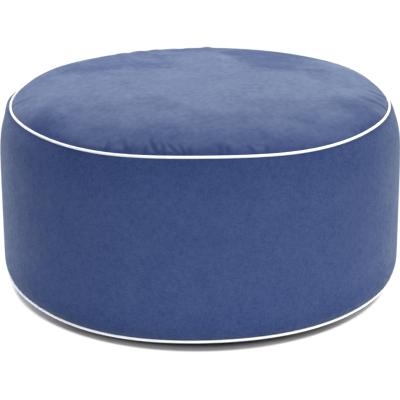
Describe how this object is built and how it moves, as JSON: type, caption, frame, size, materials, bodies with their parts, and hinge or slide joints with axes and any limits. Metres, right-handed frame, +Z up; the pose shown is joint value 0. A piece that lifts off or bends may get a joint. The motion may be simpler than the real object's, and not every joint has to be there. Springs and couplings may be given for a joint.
{
  "type": "inflatable pouf",
  "caption": "Round inflatable pouf: a low drum in a fabric cover with a crowned top, bulged side band, flat base and corded piping along its seams, for use as a seat or footstool.",
  "frame": {"origin": "middle of the base, on the surface it rests on", "axes": "+Z up along the axis of the drum, with the picture's front towards -Y"},
  "size_m": [0.55, 0.55, 0.285],
  "materials": {
    "cover_fabric": "matt blue woven fabric with a short soft nap",
    "piping_fabric": "matt white bias-cut woven fabric over cord"
  },
  "bodies": {
    "root": {"filled_band": "cover_fabric", "top_panel": "cover_fabric", "base_panel": "cover_fabric", "top_piping": "piping_fabric", "base_piping": "piping_fabric"}
  },
  "joints": []
}
